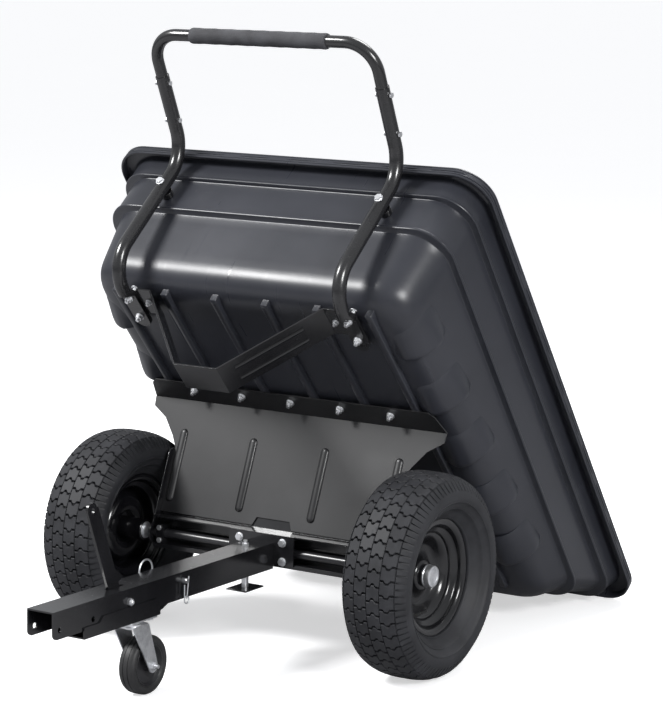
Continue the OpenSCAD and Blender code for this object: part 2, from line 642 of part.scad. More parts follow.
drawbar();
axle_beam();
axle_shaft();
coupling_plate();
coupling_bolts();
shaft_clamps();
clamp_bolts();
castor_bracket();
lever_bolt();
lever_spacers();
latch_lever();
stow_pin();
stow_clip();
foot_plate();
foot_bolt();
axle_spacers();
axle_nuts();
tilt_plate();
pivot_cheek_left();
pivot_cheek_right();
plate_bolts();
tub_shell();
saddle();
saddle_bolts();
handle_left();
handle_right();
handle_standoffs();
handle_bolts();
handle_bow();
grip();
bow_pins();
rim_left();
tyre_left();
bearings_left();
hub_cap_left();
valve_left();
rim_right();
tyre_right();
bearings_right();
hub_cap_right();
valve_right();
castor_plate();
castor_bolts();
castor_race();
castor_fork();
castor_axle();
castor_core();
castor_tyre();
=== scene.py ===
"""Looks of the tipping garden cart: moulded tub, turf tyres, steel chassis, handle and castor."""

import logging
import math
from collections.abc import Sequence
from dataclasses import astuple, dataclass
from enum import Enum
from typing import Any

import bmesh
import bpy
import numpy as np
from mathutils import Matrix, Vector


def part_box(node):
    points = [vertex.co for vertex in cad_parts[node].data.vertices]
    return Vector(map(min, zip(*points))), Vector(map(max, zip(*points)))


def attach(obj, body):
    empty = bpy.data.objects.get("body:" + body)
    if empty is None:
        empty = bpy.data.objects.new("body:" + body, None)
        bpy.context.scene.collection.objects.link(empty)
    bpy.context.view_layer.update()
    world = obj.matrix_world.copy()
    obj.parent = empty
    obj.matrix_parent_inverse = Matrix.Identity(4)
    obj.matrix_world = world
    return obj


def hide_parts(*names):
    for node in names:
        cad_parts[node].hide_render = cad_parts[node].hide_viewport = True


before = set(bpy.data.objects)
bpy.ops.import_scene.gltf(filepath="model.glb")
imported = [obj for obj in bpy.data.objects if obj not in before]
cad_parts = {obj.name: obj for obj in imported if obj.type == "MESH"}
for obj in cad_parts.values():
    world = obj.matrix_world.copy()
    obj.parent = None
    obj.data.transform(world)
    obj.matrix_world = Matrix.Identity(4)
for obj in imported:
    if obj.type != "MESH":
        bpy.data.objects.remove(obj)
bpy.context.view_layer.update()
LOG = logging.getLogger("garden_cart")

AXLE = Vector((0.0, 0.706, 0.0142))
GROUND = -0.189
TIP = math.radians(48.5)
WHEEL_X = 0.362


class Body(Enum):
    """The moving bodies that pieces ride on."""

    CHASSIS = "chassis"
    TUB = "tub"
    WHEEL_LEFT = "wheel_left"
    WHEEL_RIGHT = "wheel_right"
    LATCH = "latch"
    CASTOR_SWIVEL = "castor_swivel"
    CASTOR_WHEEL = "castor_wheel"


class Side(Enum):
    """Left or right of the cart, as the sign of X."""

    LEFT = -1
    RIGHT = 1

    @property
    def label(self) -> str:
        """The word that ends this side's node names."""
        return self.name.lower()

    @property
    def wheel(self) -> Body:
        """The road wheel on this side."""
        return Body[f"WHEEL_{self.name}"]

    def on_axle(self, along: float = WHEEL_X) -> Vector:
        """The point on the axle line that far out from the cart's middle."""
        return Vector((self.value * along, AXLE.y, AXLE.z))


# ---- nodes ----


class Value:
    """A node's output that takes part in plain arithmetic."""

    def __init__(self, nodes: "Nodes", socket: bpy.types.NodeSocket) -> None:
        """Keeps the output and the tree it belongs to."""
        self.nodes = nodes
        self.socket = socket

    def _math(self, operation: str, first: Any, second: Any) -> "Value":
        """Adds one Math node for first and second."""
        return self.nodes.add("ShaderNodeMath", {"operation": operation}, {0: first, 1: second})

    def __add__(self, other: Any) -> "Value":
        """Self plus other."""
        return self._math("ADD", self, other)

    def __radd__(self, other: Any) -> "Value":
        """Other plus self."""
        return self._math("ADD", other, self)

    def __sub__(self, other: Any) -> "Value":
        """Self minus other."""
        return self._math("SUBTRACT", self, other)

    def __mul__(self, other: Any) -> "Value":
        """Self times other."""
        return self._math("MULTIPLY", self, other)


class Nodes:
    """Adds nodes to one tree, with their values and links."""

    def __init__(self, tree: bpy.types.NodeTree) -> None:
        """Keeps the tree."""
        self.tree = tree

    def add(self, kind: str, settings: dict[str, Any], inputs: dict[Any, Any], out: Any = 0) -> Value:
        """Adds any node.

        Args:
            kind: The node's type.
            settings: Its own settings; "stops" holds a ramp's positions and greys.
            inputs: Values or links by socket name or number.
            out: The output that is handed back.

        Returns:
            The chosen output as a Value.
        """
        node = self.tree.nodes.new(kind)
        for key, setting in settings.items():
            if key == "stops":
                self._stops(node.color_ramp, setting)
            else:
                setattr(node, key, setting)
        for key, given in inputs.items():
            if isinstance(given, Value):
                self.tree.links.new(given.socket, node.inputs[key])
            else:
                node.inputs[key].default_value = given
        return Value(self, node.outputs[out])

    @staticmethod
    def _stops(ramp: bpy.types.ColorRamp, stops: Sequence[tuple[float, float]]) -> None:
        """Sets a ramp's stops to greys.

        Args:
            ramp: The ramp to set.
            stops: Position and grey of each stop.
        """
        while len(ramp.elements) < len(stops):
            ramp.elements.new(0.5)
        for element, (place, grey) in zip(ramp.elements, stops):
            element.position = place
            element.color = (grey, grey, grey, 1.0)

    def output(self, kind: str, last: Value) -> None:
        """Joins the last value to a new output node of that kind."""
        self.tree.links.new(last.socket, self.tree.nodes.new(kind).inputs[0])


class Shader(Nodes):
    """Builds the node tree of one material."""

    def __init__(self, name: str) -> None:
        """Makes an empty material with that name.

        Args:
            name: The material's name.
        """
        self.material = bpy.data.materials.new(name)
        self.material.use_nodes = True
        super().__init__(self.material.node_tree)
        self.tree.nodes.clear()

    def place(self, scale: Sequence[float] = (1, 1, 1)) -> Value:
        """The point on the piece, stretched along each axis by scale."""
        point = self.add("ShaderNodeTexCoord", {}, {}, "Object")
        return self.add("ShaderNodeMapping", {}, {"Vector": point, "Scale": tuple(scale)})

    def noise(self, point: Value, scale: float, detail: float = 2.0, rough: float = 0.5) -> Value:
        """Cloudy noise with scale features to the metre."""
        inputs = {"Vector": point, "Scale": scale, "Detail": detail, "Roughness": rough}
        return self.add("ShaderNodeTexNoise", {}, inputs, "Fac")

    def ramp(self, value: Value, low: float, high: float) -> Value:
        """Zero below low, one above high."""
        return self.add("ShaderNodeValToRGB", {"stops": [(low, 0.0), (high, 1.0)]}, {0: value})

    def blend(self, mask: Any, first: Any, second: Any) -> Value:
        """Mixes two colours by mask."""
        return self.add("ShaderNodeMix", {"data_type": "RGBA"},
                        {0: mask, 6: _rgba(first), 7: _rgba(second)}, 2)

    def bump(self, height: Value, strength: float, depth: float) -> Value:
        """Turns a height in depths of metres into a normal."""
        return self.add("ShaderNodeBump", {}, {"Strength": strength, "Distance": depth, "Height": height})

    def surface(self, inputs: dict[str, Any]) -> bpy.types.Material:
        """Ends the tree in one Principled surface.

        Args:
            inputs: Values or links by socket name.

        Returns:
            The finished material.
        """
        return self.end(self.add("ShaderNodeBsdfPrincipled", {}, inputs))

    def end(self, skin: Value) -> bpy.types.Material:
        """Joins a surface to the output.

        Args:
            skin: The surface.

        Returns:
            The finished material.
        """
        self.output("ShaderNodeOutputMaterial", skin)
        return self.material


def _rgba(colour: Any) -> Any:
    """A colour of three numbers as four; links pass through."""
    return colour if isinstance(colour, Value) else (*colour, 1.0)


# ---- finishes ----


@dataclass(frozen=True)
class Finish:
    """What a surface is made of, and the record's slot it belongs to."""

    name: str
    slot: str

    def material(self) -> bpy.types.Material:
        """The material, made once and then shared."""
        return bpy.data.materials.get(self.name) or self.paint(Shader(self.name))

    def paint(self, shader: Shader) -> bpy.types.Material:
        """Builds the nodes; each finish has its own."""
        raise NotImplementedError


@dataclass(frozen=True)
class SprayPaint(Finish):
    """Black paint on steel, from satin powder coat to wet gloss."""

    colour: tuple[float, float, float] = (0.012, 0.012, 0.014)
    dust: tuple[float, float, float] = (0.05, 0.05, 0.053)
    rough: float = 0.3
    peel: float = 0.05
    coat: float = 0.3

    def paint(self, shader: Shader) -> bpy.types.Material:
        """Orange peel, faint dust and cloudy sheen.

        Args:
            shader: The empty material to fill.

        Returns:
            The finished material.
        """
        point = shader.place()
        peel = shader.noise(point, 850.0, 2.0)
        cloud = shader.noise(point, 7.0, 5.0, 0.6)
        specks = shader.ramp(shader.noise(point, 420.0, 1.0), 0.66, 0.74)
        scuff = shader.ramp(shader.noise(shader.place((18, 60, 240)), 3.0, 4.0), 0.62, 0.8)
        mask = shader.ramp(cloud, 0.42, 0.75) * 0.35 + specks * 0.25 + scuff * 0.2
        return shader.surface({
            "Base Color": shader.blend(mask, self.colour, self.dust),
            "Roughness": self.rough + cloud * 0.12 + scuff * 0.12,
            "Coat Weight": self.coat,
            "Coat Roughness": 0.12,
            "Specular IOR Level": 0.5,
            "Normal": shader.bump(peel, self.peel, 0.0006),
        })


@dataclass(frozen=True)
class ZincPlate(Finish):
    """Bright zinc on fasteners and pressings."""

    colour: tuple[float, float, float] = (0.86, 0.87, 0.89)
    dull: tuple[float, float, float] = (0.58, 0.59, 0.61)
    rough: float = 0.24

    def paint(self, shader: Shader) -> bpy.types.Material:
        """Spangled plate with dull patches and a fine brushed grain.

        Args:
            shader: The empty material to fill.

        Returns:
            The finished material.
        """
        point = shader.place()
        patch = shader.noise(point, 60.0, 4.0, 0.6)
        grain = shader.noise(shader.place((1, 1, 14)), 420.0, 2.0)
        spangle = shader.add("ShaderNodeTexVoronoi", {}, {"Vector": point, "Scale": 300.0}, "Distance")
        mask = shader.ramp(patch, 0.42, 0.7) * 0.7 + spangle * 0.25
        return shader.surface({
            "Base Color": shader.blend(mask, self.colour, self.dull),
            "Metallic": 0.95,
            "Roughness": self.rough + patch * 0.18 + grain * 0.1,
            "Normal": shader.bump(grain, 0.12, 0.0004),
        })


@dataclass(frozen=True)
class MouldedPlastic(Finish):
    """Semi-matt moulded plastic with a fine grain, drag marks and faint cloudiness."""

    colour: tuple[float, float, float] = (0.023, 0.0245, 0.031)
    worn: tuple[float, float, float] = (0.042, 0.044, 0.055)
    rough: float = 0.27

    def paint(self, shader: Shader) -> bpy.types.Material:
        """Grain in the normal, long faint scratches in colour and gloss.

        Args:
            shader: The empty material to fill.

        Returns:
            The finished material.
        """
        point = shader.place()
        grain = shader.noise(point, 1100.0, 2.0, 0.6)
        cloud = shader.noise(point, 4.5, 5.0, 0.55)
        streak = shader.ramp(shader.noise(shader.place((55, 2.5, 2.5)), 2.2, 3.0), 0.63, 0.72)
        cross = shader.ramp(shader.noise(shader.place((4, 90, 60)), 1.4, 4.0, 0.7), 0.66, 0.76)
        mask = shader.ramp(cloud, 0.35, 0.75) * 0.45 + streak * 0.22 + cross * 0.18
        flow = shader.noise(point, 14.0, 2.0)
        return shader.surface({
            "Base Color": shader.blend(mask, self.colour, self.worn),
            "Roughness": self.rough + cloud * 0.14 - streak * 0.08,
            "Specular IOR Level": 0.5,
            "Normal": shader.bump(grain * 0.35 + flow * 3.0 + streak * 0.3, 0.25, 0.0006),
        })


@dataclass(frozen=True)
class Rubber(Finish):
    """Black rubber with bloom, moulding grain and scattered scuffs."""

    colour: tuple[float, float, float] = (0.012, 0.0125, 0.015)
    bloom: tuple[float, float, float] = (0.042, 0.043, 0.049)
    rough: float = 0.52
    grain: float = 700.0

    def paint(self, shader: Shader) -> bpy.types.Material:
        """Cloudy bloom, fine grain and scattered scuffs.

        Args:
            shader: The empty material to fill.

        Returns:
            The finished material.
        """
        point = shader.place()
        cloud = shader.noise(point, 16.0, 5.0, 0.65)
        fine = shader.noise(point, self.grain, 3.0, 0.6)
        scuff = shader.ramp(shader.noise(point, 95.0, 3.0), 0.6, 0.72)
        mask = shader.ramp(cloud, 0.35, 0.7) * 0.5 + scuff * 0.3
        return shader.surface({
            "Base Color": shader.blend(mask, self.colour, self.bloom),
            "Roughness": self.rough + cloud * 0.16 + scuff * 0.1,
            "Specular IOR Level": 0.42,
            "Normal": shader.bump(fine, 0.22, 0.0007),
        })


@dataclass(frozen=True)
class ClosedFoam(Finish):
    """Closed-cell foam of the grip."""

    colour: tuple[float, float, float] = (0.02, 0.02, 0.023)
    pale: tuple[float, float, float] = (0.075, 0.076, 0.084)

    def paint(self, shader: Shader) -> bpy.types.Material:
        """Tiny cells with slow colour change.

        Args:
            shader: The empty material to fill.

        Returns:
            The finished material.
        """
        point = shader.place()
        cells = shader.add("ShaderNodeTexVoronoi", {}, {"Vector": point, "Scale": 620.0}, "Distance")
        cloud = shader.noise(point, 26.0, 4.0)
        mask = shader.ramp(cloud, 0.35, 0.7) * 0.6 + cells * 0.3
        return shader.surface({
            "Base Color": shader.blend(mask, self.colour, self.pale),
            "Roughness": 0.68 + cloud * 0.2,
            "Normal": shader.bump(cells, 0.5, 0.0008),
        })


@dataclass(frozen=True)
class StudioFloor(Finish):
    """Pale seamless floor."""

    colour: tuple[float, float, float] = (0.8, 0.8, 0.805)

    def paint(self, shader: Shader) -> bpy.types.Material:
        """Bright where it is looked at, and grey where it lights the cart from below.

        Args:
            shader: The empty material to fill.

        Returns:
            The finished material.
        """
        cloud = shader.noise(shader.place(), 1.3, 3.0)
        tone = shader.blend(cloud, self.colour, tuple(c * 0.985 for c in self.colour))
        seen = shader.add("ShaderNodeBsdfPrincipled", {}, {
            "Base Color": tone,
            "Roughness": 0.8,
            "Specular IOR Level": 0.1,
            "Emission Color": tone,
            "Emission Strength": 0.72,
        })
        bounced = shader.add("ShaderNodeBsdfPrincipled", {},
                             {"Base Color": (0.3, 0.3, 0.31, 1.0), "Roughness": 0.8})
        looked_at = shader.add("ShaderNodeLightPath", {}, {}, "Is Camera Ray")
        return shader.end(shader.add("ShaderNodeMixShader", {}, {0: looked_at, 1: bounced, 2: seen}))


SATIN = SprayPaint("satin_black_coat", "black_paint", colour=(0.006, 0.006, 0.007),
                   dust=(0.024, 0.024, 0.027), rough=0.14, peel=0.06)
GLOSS = SprayPaint("gloss_black_paint", "gloss_paint", colour=(0.004, 0.004, 0.005),
                   dust=(0.014, 0.014, 0.016), rough=0.13, peel=0.04)
TUBE = SprayPaint("tube_black_paint", "black_paint", colour=(0.010, 0.010, 0.011),
                  dust=(0.03, 0.03, 0.032), rough=0.2, peel=0.04, coat=0.45)
SHEET = SprayPaint("sheet_black_paint", "gloss_paint", colour=(0.010, 0.010, 0.011),
                   dust=(0.026, 0.026, 0.028), rough=0.34, coat=0.12)
# The shaft has the zinc slot and is drawn oiled and dark.
SHAFT = SprayPaint("oiled_dark_steel", "zinc", colour=(0.016, 0.016, 0.018),
                   dust=(0.05, 0.05, 0.054), rough=0.26, peel=0.04, coat=0.2)
ZINC = ZincPlate("bright_zinc", "zinc")
TUB_PLASTIC = MouldedPlastic("charcoal_moulding", "tub_plastic")
CORE_PLASTIC = MouldedPlastic("wheel_core_moulding", "core_plastic", colour=(0.02, 0.02, 0.022),
                              worn=(0.05, 0.05, 0.052))
TREAD = Rubber("turf_tyre_rubber", "tyre")
SOFT_RUBBER = Rubber("smooth_rubber", "black_rubber", colour=(0.02, 0.02, 0.021),
                     bloom=(0.045, 0.045, 0.046), rough=0.42, grain=1200.0)
FOAM = ClosedFoam("grip_foam", "foam")


# ---- making pieces ----


def enter(name: str, data: bpy.types.ID) -> bpy.types.Object:
    """Makes an object of that data and links it to the scene.

    Args:
        name: The object's name.
        data: Its mesh, lamp or camera.

    Returns:
        The new object.
    """
    made = bpy.data.objects.new(name, data)
    bpy.context.scene.collection.objects.link(made)
    return made


def put(name: str, points: Sequence[Any], faces: Sequence[Sequence[int]], finish: Finish,
        crease: float = 35.0, outward: bool = True) -> bpy.types.Object:
    """Makes a mesh object with smooth faces and sharp creases.

    Args:
        name: The piece's name.
        points: Its corners in metres, in the cart's frame.
        faces: Its faces as lists of corner numbers.
        finish: What it is made of.
        crease: Edges bent by more degrees than this stay sharp.
        outward: Turns all faces outwards.

    Returns:
        The new object, linked to the scene.
    """
    mesh = bpy.data.meshes.new(name)
    mesh.from_pydata([tuple(map(float, p)) for p in points], [], [list(f) for f in faces])
    made = enter(name, mesh)
    mesh.materials.append(finish.material())
    if outward:
        shape = bmesh.new()
        shape.from_mesh(mesh)
        bmesh.ops.remove_doubles(shape, verts=shape.verts, dist=1e-6)
        bmesh.ops.recalc_face_normals(shape, faces=shape.faces)
        shape.to_mesh(mesh)
        shape.free()
    smooth(mesh, crease)
    return made


def smooth(mesh: bpy.types.Mesh, crease: float) -> None:
    """Smooths the faces and keeps hard edges sharp.

    Args:
        mesh: The mesh to smooth.
        crease: Edges bent by more degrees than this stay sharp.
    """
    mesh.polygons.foreach_set("use_smooth", [True] * len(mesh.polygons))
    mesh.set_sharp_from_angle(angle=math.radians(crease))
    mesh.update()


def settle(made: bpy.types.Object) -> bpy.types.Object:
    """Turns the modified object into a plain mesh and drops its modifiers.

    Args:
        made: The object to settle.

    Returns:
        The same object.
    """
    bpy.context.view_layer.update()
    seen = made.evaluated_get(bpy.context.evaluated_depsgraph_get())
    mesh = bpy.data.meshes.new_from_object(seen)
    made.modifiers.clear()
    made.data = mesh
    return made


def install(made: bpy.types.Object, body: Body, finish: Finish, *nodes: str) -> bpy.types.Object:
    """Lets a finished piece ride on its body in place of its nodes.

    Args:
        made: The finished piece.
        body: The body it moves with.
        finish: What it is made of; not used.
        *nodes: The nodes that it stands for.

    Returns:
        The same object.
    """
    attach(made, body.value)
    if nodes:
        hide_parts(*nodes)
    LOG.info("%s: %d faces on %s", made.name, len(made.data.polygons), body.value)
    return made


def join(name: str, parts: Sequence[bpy.types.Object]) -> bpy.types.Object:
    """Joins parts into one object.

    Args:
        name: The joined piece's name.
        parts: The objects, all at the origin.

    Returns:
        The joined object.
    """
    shape = bmesh.new()
    mesh = bpy.data.meshes.new(name)
    for part in parts:
        for material in part.data.materials:
            if material.name not in mesh.materials:
                mesh.materials.append(material)
    for part in parts:
        before = len(shape.faces)
        shape.from_mesh(part.data)
        shape.faces.ensure_lookup_table()
        for face in shape.faces[before:]:
            name_here = part.data.materials[face.material_index].name
            face.material_index = mesh.materials.find(name_here)
    shape.to_mesh(mesh)
    shape.free()
    for part in parts:
        bpy.data.objects.remove(part)
    return enter(name, mesh)


def sweep_rings(rings: Sequence[np.ndarray], closed: bool = False) -> tuple[np.ndarray, list]:
    """Skins a run of rings that have the same number of points.

    Args:
        rings: One array of points for each ring.
        closed: Joins the last ring to the first; an open run gets a face at each end.

    Returns:
        The points and the faces.
    """
    count = len(rings[0])
    faces: list[list[int]] = []
    total = len(rings)
    for i in range(total if closed else total - 1):
        a, b = i * count, ((i + 1) % total) * count
        for j in range(count):
            k = (j + 1) % count
            faces.append([a + j, a + k, b + k, b + j])
    if not closed:
        faces.append(list(range(count)))
        faces.append(list(range((total - 1) * count, total * count)))
    return np.vstack(rings), faces


def lathe(profile: Sequence[tuple[float, float]], centre: Vector, side: int,
          steps: int) -> tuple[np.ndarray, list]:
    """Turns a closed outline about the X axis through centre.

    Args:
        profile: Radius and distance along the axis, in metres.
        centre: A point on the axis.
        side: Which way along X the distance runs.
        steps: Sides round the turn.

    Returns:
        The points and the faces.
    """
    rings = []
    for i in range(steps):
        a = 2 * math.pi * i / steps
        rings.append(np.array([(centre.x + side * along, centre.y + r * math.cos(a),
                                centre.z + r * math.sin(a)) for r, along in profile]))
    return sweep_rings(rings, closed=True)


def thicken(line: Sequence[tuple[float, float]], thick: float) -> list[tuple[float, float]]:
    """Closed outline of a bent sheet drawn by its middle line.

    Args:
        line: Points along the middle of the sheet.
        thick: The sheet's thickness.

    Returns:
        The outline, down one face and back along the other.
    """
    faces: tuple[list[tuple[float, float]], list[tuple[float, float]]] = ([], [])
    for i, (x, y) in enumerate(line):
        (ax, ay), (bx, by) = line[max(i - 1, 0)], line[min(i + 1, len(line) - 1)]
        reach = thick / 2 / math.hypot(bx - ax, by - ay)
        for way, face in zip((1, -1), faces):
            face.append((x + way * reach * (by - ay), y - way * reach * (bx - ax)))
    return faces[0] + faces[1][::-1]


class RepeatTree(Nodes):
    """Geometry Nodes that repeat a shape in a row or round an axle."""

    def __init__(self) -> None:
        """Builds the tree once."""
        super().__init__(bpy.data.node_groups.new("repeat", "GeometryNodeTree"))
        face = self.tree.interface
        kinds = {"Geometry": "NodeSocketGeometry", "Count": "NodeSocketInt", "Start": "NodeSocketVector",
                 "Step": "NodeSocketVector", "Turn": "NodeSocketFloat", "Finish": "NodeSocketMaterial"}
        face.new_socket(name="Geometry", in_out="OUTPUT", socket_type=kinds["Geometry"])
        for name, kind in kinds.items():
            face.new_socket(name=name, in_out="INPUT", socket_type=kind)
        given = {name: self.add("NodeGroupInput", {}, {}, name) for name in kinds}
        index = self.add("GeometryNodeInputIndex", {}, {})
        line = self.add("GeometryNodeMeshLine", {}, {"Count": given["Count"], "Offset": (0, 0, 0)})
        along = self.add("ShaderNodeVectorMath", {"operation": "SCALE"}, {0: given["Step"], "Scale": index})
        spot = self.add("ShaderNodeVectorMath", {"operation": "ADD"}, {0: along, 1: given["Start"]})
        placed = self.add("GeometryNodeSetPosition", {}, {0: line, "Position": spot})
        turn = self.add("ShaderNodeCombineXYZ", {}, {0: given["Turn"] * index})
        spin = self.add("FunctionNodeEulerToRotation", {}, {0: turn})
        copies = self.add("GeometryNodeInstanceOnPoints", {},
                          {"Points": placed, "Instance": given["Geometry"], "Rotation": spin})
        solid = self.add("GeometryNodeRealizeInstances", {}, {0: copies})
        dressed = self.add("GeometryNodeSetMaterial", {}, {0: solid, "Material": given["Finish"]})
        self.output("NodeGroupOutput", dressed)

    def apply(self, made: bpy.types.Object, finish: Finish, count: int, start: Sequence[float] = (0, 0, 0),
              step: Sequence[float] = (0, 0, 0), turn: float = 0.0) -> bpy.types.Object:
        """Repeats an object's shape and settles the result.

        Args:
            made: The object that holds one copy of the shape.
            finish: The finish of every copy.
            count: How many copies.
            start: Where the first copy goes.
            step: From one copy to the next.
            turn: Radians about X from one copy to the next.

        Returns:
            The object with all copies as one plain mesh.
        """
        modifier = made.modifiers.new("repeat", "NODES")
        modifier.node_group = self.tree
        values = {"Count": count, "Start": tuple(start), "Step": tuple(step), "Turn": turn,
                  "Finish": finish.material()}
        for item in self.tree.interface.items_tree:
            if item.in_out == "INPUT" and item.name in values:
                modifier[item.identifier] = values[item.name]
        return settle(made)


REPEAT = RepeatTree()


def to_tub(points: np.ndarray) -> np.ndarray:
    """Turns points of the level tub about the axle into the tipped cart's frame.

    Args:
        points: One row for each point, about the axle.

    Returns:
        The same points where the tipped tub has them.
    """
    c, s = math.cos(TIP), math.sin(TIP)
    x, y, z = points.T
    return np.stack([x, y * c + z * s + AXLE.y, -y * s + z * c + AXLE.z], -1)


def place_on_tub(part: bpy.types.Object) -> None:
    """Moves a part's corners from the level tub to the tipped one."""
    corners = np.array([corner.co for corner in part.data.vertices])
    part.data.vertices.foreach_set("co", to_tub(corners).ravel())


# ---- tub ----


@dataclass
class Ring:
    """One level line of the tub: half width, front, back, corner radius and its heights."""

    hw: float
    front: float
    back: float
    corner: float
    z_front: float
    z_back: float
    slots: bool = False

    def grown(self, out: float, up: float = 0.0) -> "Ring":
        """The same line moved outwards and up."""
        return Ring(self.hw + out, self.front - out, self.back + out, self.corner, self.z_front + up,
                    self.z_back + up, self.slots)


@dataclass
class Tub:
    """The moulded tub, level, about the axle; it is tipped when its points are placed."""

    wall: float = 0.004
    floor: float = 0.264
    rim_front: tuple[float, float] = (-0.540, 0.5815)
    slope: float = math.radians(5.0)
    half: float = 0.444
    length: float = 1.218
    corner: float = 0.074
    lip: float = 0.022
    ribs: int = 6
    rib_x: float = 0.120
    rib_depth: float = 0.010
    rib_cut: float = -0.462
    slot_pitch: float = 0.112
    slot_length: float = 0.066
    slot_depth: float = 0.0016
    slot_drops: tuple[float, float] = (-0.0142, -0.0112)
    shingles: int = 5
    first_shingle: tuple[float, float, float] = (0.0, -0.335, 0.004)
    shingle_step: tuple[float, float, float] = (0.0, 0.158, -0.0022)
    base_steps: int = 10
    long_steps: int = 84
    short_steps: int = 60
    corner_steps: int = 14

    def at_rim(self, drop: float, inset: float, front: float, back: float, slots: bool = False) -> Ring:
        """A line in the rim's own plane.

        Args:
            drop: Height over the rim plane, negative below it.
            inset: How far the sides stand in from the rim's edge.
            front: The same for the front.
            back: The back's distance from the rim's front edge.
            slots: Whether the dashed slots are pressed in here.

        Returns:
            The line in the level tub's frame.
        """
        c, s = math.cos(self.slope), math.sin(self.slope)
        y0, z0 = self.rim_front
        spots = [(y0 + v * c + drop * s, z0 - v * s + drop * c) for v in (front, back)]
        (fy, fz), (by, bz) = spots
        return Ring(self.half - inset, fy, by, self.corner, fz, bz, slots)

    def outline(self, ring: Ring) -> np.ndarray:
        """The points round one line, always in the same order and number.

        Args:
            ring: The line.

        Returns:
            One row for each point, about the axle of the level tub.
        """
        r, hw, f, b = ring.corner, ring.hw, ring.front, ring.back
        flat: list[tuple[float, float]] = []

        def side(p: tuple[float, float], q: tuple[float, float], n: int) -> None:
            """Adds n points from p up to q."""
            flat.extend((p[0] + (q[0] - p[0]) * i / n, p[1] + (q[1] - p[1]) * i / n) for i in range(n))

        def turn(cx: float, cy: float, start: float) -> None:
            """Adds a quarter turn about a centre.

            Args:
                cx: The centre's place across the cart.
                cy: The centre's place along the cart.
                start: Degrees at which the turn starts.
            """
            for i in range(self.corner_steps):
                a = math.radians(start + 90 * i / self.corner_steps)
                flat.append((cx + r * math.cos(a), cy + r * math.sin(a)))

        side((hw, f + r), (hw, b - r), self.long_steps)
        turn(hw - r, b - r, 0)
        side((hw - r, b), (-hw + r, b), self.short_steps)
        turn(-hw + r, b - r, 90)
        side((-hw, b - r), (-hw, f + r), self.long_steps)
        turn(-hw + r, f + r, 180)
        side((-hw + r, f), (hw - r, f), self.short_steps)
        turn(hw - r, f + r, 270)
        plan = np.array(flat)
        if ring.slots:
            run = np.concatenate([[0], np.cumsum(np.linalg.norm(np.diff(plan, axis=0), axis=1))])
            pressed = (run % self.slot_pitch) < self.slot_length
            middle = np.array([0.0, (f + b) / 2])
            inward = np.sign(middle - plan)
            reach = np.abs(plan - middle) - np.array([hw, (b - f) / 2])
            edge = reach > -0.3 * r
            plan = plan + inward * edge * pressed[:, None] * self.slot_depth
        z = ring.z_front + (ring.z_back - ring.z_front) * (plan[:, 1] - f) / (b - f)
        return np.column_stack([plan, z])

    def base(self) -> list[Ring]:
        """Lines from the flat floor round the big lower corners.

        Returns:
            The lines, from the floor up.
        """
        curves = ((0.318, 0.368, 0.378), (-0.425, -0.492, -0.497), (0.400, 0.446, 0.482),
                  (0.050, 0.066, 0.074), (self.floor, self.floor, 0.320), (self.floor, self.floor, 0.306))
        shares = [i / self.base_steps for i in range(self.base_steps + 1)]
        return [Ring(*(a * (1 - u) ** 2 + 2 * b * u * (1 - u) + c * u * u for a, b, c in curves))
                for u in shares]

    def walls(self) -> list[Ring]:
        """Lines up the three upright tiers, with a ledge and a bead between them.

        Returns:
            The lines, from the lower corners up to the rim.
        """
        top = self.at_rim(-0.1480, 0.0522, 0.0482, 1.0650)
        ends = list(zip(astuple(self.base()[-1])[:-1], astuple(top)[:-1]))
        made = [Ring(*(low * (1 - u) + high * u for low, high in ends)) for u in (i / 6 for i in range(1, 7))]
        for drop, inset in ((-0.1468, 0.0518), (-0.1460, 0.0508), (-0.1458, 0.0410), (-0.1450, 0.0388),
                            (-0.1436, 0.0380), (-0.1408, 0.0380), (-0.1396, 0.0386), (-0.1386, 0.0402)):
            made.append(self.at_rim(drop, inset, inset - 0.004, 1.118 - inset))
        for i in range(1, 6):
            u = i / 5
            made.append(self.at_rim(-0.1370 + 0.0740 * u, 0.0400 - 0.0020 * u, 0.0360 - 0.0020 * u,
                                    1.0800 + 0.0770 * u))
        for drop, inset in ((-0.0618, 0.0378), (-0.0610, 0.0368), (-0.0608, 0.0270), (-0.0600, 0.0248),
                            (-0.0586, 0.0240), (-0.0558, 0.0240), (-0.0546, 0.0246), (-0.0536, 0.0260)):
            made.append(self.at_rim(drop, inset, 0.026 + (inset - 0.026) * 0.67,
                                    1.172 - (inset - 0.026) * 1.17))
        for i in range(1, 5):
            u = i / 4
            made.append(self.at_rim(-0.0520 + 0.0410 * u, 0.0260 - 0.0018 * u, 0.0260 - 0.0018 * u,
                                    1.1740 + 0.0205 * u))
        return made

    def rim(self) -> list[Ring]:
        """Lines out under the flange, round the lip with its slots, and over the top.

        Returns:
            The lines, from the outside to the inside.
        """
        rows = ((-0.0080, 0.0235), (-0.0050, 0.0215), (-0.0040, 0.0180), (-0.0040, 0.0060), (-0.0060, 0.0040),
                (-0.0205, 0.0040), (-0.0220, 0.0030), (-0.0220, 0.0012), (-0.0210, 0.0002), (-0.0192, 0.0),
                (-0.0184, 0.0012), (-0.0172, 0.0012), (-0.0164, 0.0), (-0.0148, 0.0), (-0.0142, 0.0),
                (-0.0112, 0.0), (-0.0106, 0.0), (-0.0070, 0.0), (-0.0062, 0.0010), (-0.0052, 0.0010),
                (-0.0044, 0.0), (-0.0030, 0.0), (-0.0012, 0.0006), (-0.0002, 0.0020), (0.0, 0.0050),
                (0.0, 0.0200), (-0.0006, 0.0252), (-0.0030, 0.0274), (-0.0080, 0.0280))
        return [self.at_rim(drop, inset, inset, self.length - inset, drop in self.slot_drops)
                for drop, inset in rows]

